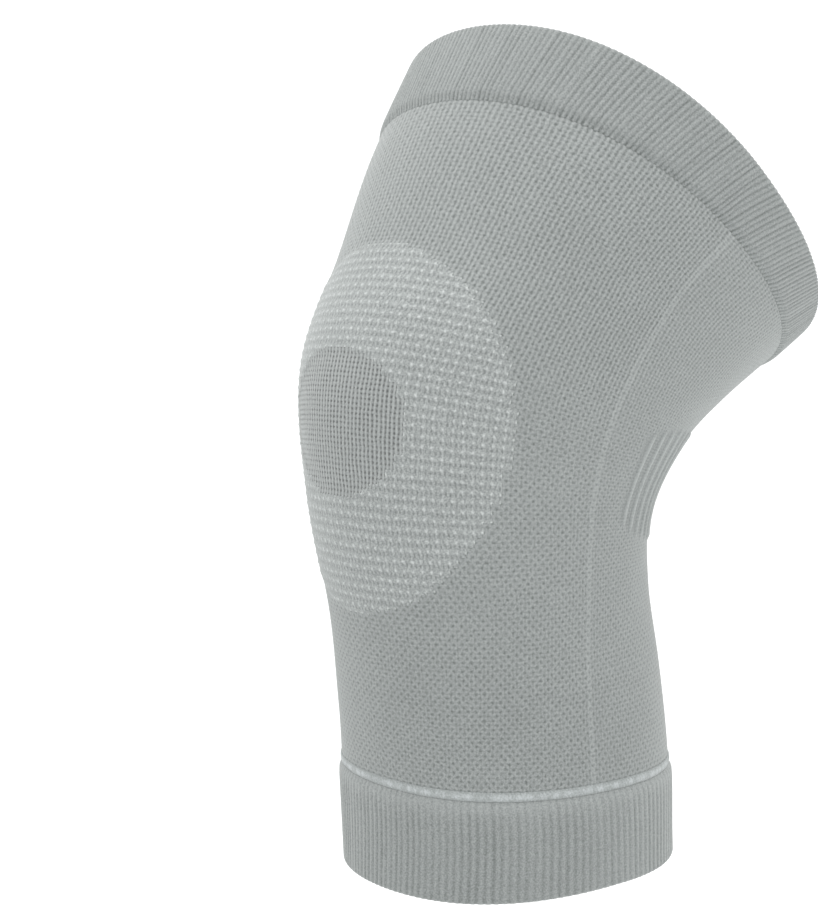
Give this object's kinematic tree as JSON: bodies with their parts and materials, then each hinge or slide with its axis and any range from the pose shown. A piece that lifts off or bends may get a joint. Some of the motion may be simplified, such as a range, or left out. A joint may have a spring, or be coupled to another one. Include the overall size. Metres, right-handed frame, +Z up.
{
  "type": "knee sleeve",
  "caption": "Knitted compression sleeve in the form of a slightly bent knee, with ribbed cuffs, an open-knit kneecap ring and a ribbed panel in the hollow of the knee.",
  "frame": {"origin": "middle of the knee, on the leg's axis, where the sleeve sits on the leg that holds it", "axes": "+Z up the leg, -Y to the front where the kneecap is, +Y to the hollow of the knee, X across, with X = 0 the middle plane"},
  "size_m": [0.145, 0.1798, 0.2702],
  "materials": {
    "body_knit": "matte grey double knit with a staggered birdseye surface",
    "ring_knit": "matte off-white tuck knit with raised rows of dots",
    "field_knit": "matte grey fine open knit",
    "panel_knit": "matte grey knit with light raised ribs",
    "cuff_rib": "matte grey one by one rib knit",
    "hem_yarn": "soft off-white yarn"
  },
  "bodies": {
    "root": {"sleeve_body": "body_knit", "kneecap_ring": "ring_knit", "kneecap_field": "field_knit", "knee_hollow_panel": "panel_knit", "calf_cuff": "cuff_rib", "thigh_cuff": "cuff_rib", "calf_hem": "hem_yarn"}
  },
  "joints": []
}
